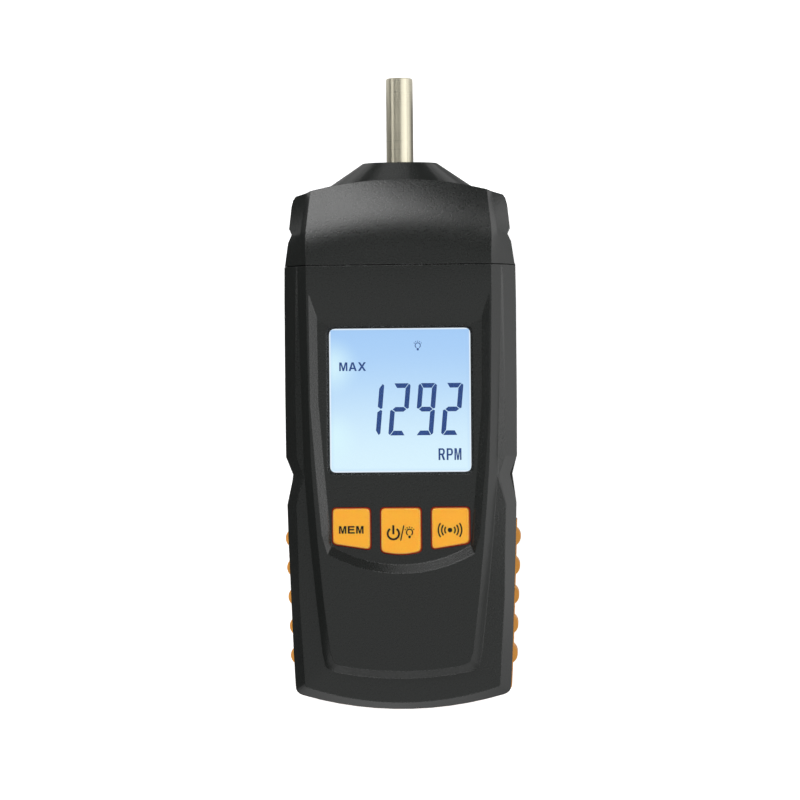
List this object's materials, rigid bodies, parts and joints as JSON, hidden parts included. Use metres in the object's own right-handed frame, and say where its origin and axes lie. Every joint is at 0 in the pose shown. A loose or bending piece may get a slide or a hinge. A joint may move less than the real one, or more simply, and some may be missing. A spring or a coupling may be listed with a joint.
{
  "type": "contact tachometer",
  "caption": "Handheld contact tachometer: black case, lit display, orange keys and ribbed grip, and a free-turning steel spindle on ball bearings.",
  "frame": {"origin": "centre of the bounding box's bottom face; the meter lies on its back", "axes": "+Z from the back to the keys, +Y from the tail to the spindle's tip, +X to the right as the display is read"},
  "size_m": [0.077, 0.2057, 0.0365],
  "materials": {
    "case_plastic": "fine spark texture, satin",
    "grip_rubber": "soft matt rubber",
    "key_rubber": "smooth satin silicone",
    "lens_clear": "clear polished acrylic",
    "lcd_glass": "polished glass with polariser",
    "white_plastic": "white moulded plastic",
    "black_plastic": "moulded component body",
    "zebra_rubber": "layered conductive rubber",
    "board": "green solder mask",
    "crystal_case": "plated can",
    "components": "small parts and capacitors",
    "spindle_steel": "turned, satin",
    "bearing_steel": "ground bearing steel",
    "cage_brass": "balls in a brass cage",
    "carrier_alloy": "cast and turned alloy",
    "spring_steel": "blued spring steel",
    "felt": "pressed wool felt",
    "ribbon": "flat cable",
    "cell_jacket": "printed cell jacket",
    "contact_metal": "nickel-plated spring metal",
    "lead_cover": "lead insulation",
    "screw_steel": "zinc-plated steel"
  },
  "bodies": {
    "housing": {"front_shell": "case_plastic", "rear_shell": "case_plastic", "head_cover": "case_plastic", "nose_collar": "case_plastic", "side_grip": "grip_rubber", "display_lens": "lens_clear", "lcd_glass": "lcd_glass", "lcd_frame": "white_plastic", "backlight_panel": "white_plastic", "backlight_lamps": "white_plastic", "contact_strip": "zebra_rubber", "switch_bodies": "black_plastic", "main_board": "board", "controller_chip": "black_plastic", "timing_crystal": "crystal_case", "board_components": "components", "front_outer_ring": "bearing_steel", "rear_outer_ring": "bearing_steel", "bearing_carrier": "carrier_alloy", "optical_sensor": "black_plastic", "sensor_board": "board", "sensor_ribbon": "ribbon", "ribbon_plugs": "white_plastic", "felt_seal": "felt", "battery_cells": "cell_jacket", "contact_springs": "contact_metal", "contact_plates": "contact_metal", "battery_leads": "lead_cover", "case_screws": "screw_steel", "carrier_screws": "screw_steel", "board_screws": "screw_steel", "sensor_screws": "screw_steel"},
    "spindle_train": {"spindle": "spindle_steel", "front_inner_ring": "bearing_steel", "rear_inner_ring": "bearing_steel", "bearing_spacer": "bearing_steel", "spindle_clip": "spring_steel", "encoder_disc": "black_plastic"},
    "front_balls": {"front_ball_set": "cage_brass"},
    "rear_balls": {"rear_ball_set": "cage_brass"},
    "mem_button": {"mem_key": "key_rubber", "mem_plunger": "black_plastic"},
    "power_button": {"power_key": "key_rubber", "power_plunger": "black_plastic"},
    "measure_button": {"measure_key": "key_rubber", "measure_plunger": "black_plastic"},
    "door": {"battery_door": "case_plastic"}
  },
  "joints": [
    {"name": "spindle_spin", "type": "hinge", "parent": "housing", "child": "spindle_train", "pos_m": [0, 0.0582, 0.0175], "axis": [0, 1, 0], "continuous": true},
    {"name": "front_balls_spin", "type": "hinge", "parent": "housing", "child": "front_balls", "pos_m": [0, 0.0582, 0.0175], "axis": [0, 1, 0], "continuous": true},
    {"name": "rear_balls_spin", "type": "hinge", "parent": "housing", "child": "rear_balls", "pos_m": [0, 0.0432, 0.0175], "axis": [0, 1, 0], "continuous": true},
    {"name": "mem_press", "type": "slide", "parent": "housing", "child": "mem_button", "axis": [0, 0, -1], "range_m": [0, 0.0005], "stiffness_N_per_m": 800, "springref_m": -0.0005},
    {"name": "power_press", "type": "slide", "parent": "housing", "child": "power_button", "axis": [0, 0, -1], "range_m": [0, 0.0005], "stiffness_N_per_m": 800, "springref_m": -0.0005},
    {"name": "measure_press", "type": "slide", "parent": "housing", "child": "measure_button", "axis": [0, 0, -1], "range_m": [0, 0.0005], "stiffness_N_per_m": 800, "springref_m": -0.0005},
    {"name": "door_slide", "type": "slide", "parent": "housing", "child": "door", "axis": [0, -1, 0], "range_m": [0, 0.062]}
  ],
  "couplings": [
    {"joint": "front_balls_spin", "follows": "spindle_spin", "ratio": 0.3867},
    {"joint": "rear_balls_spin", "follows": "spindle_spin", "ratio": 0.3867}
  ]
}
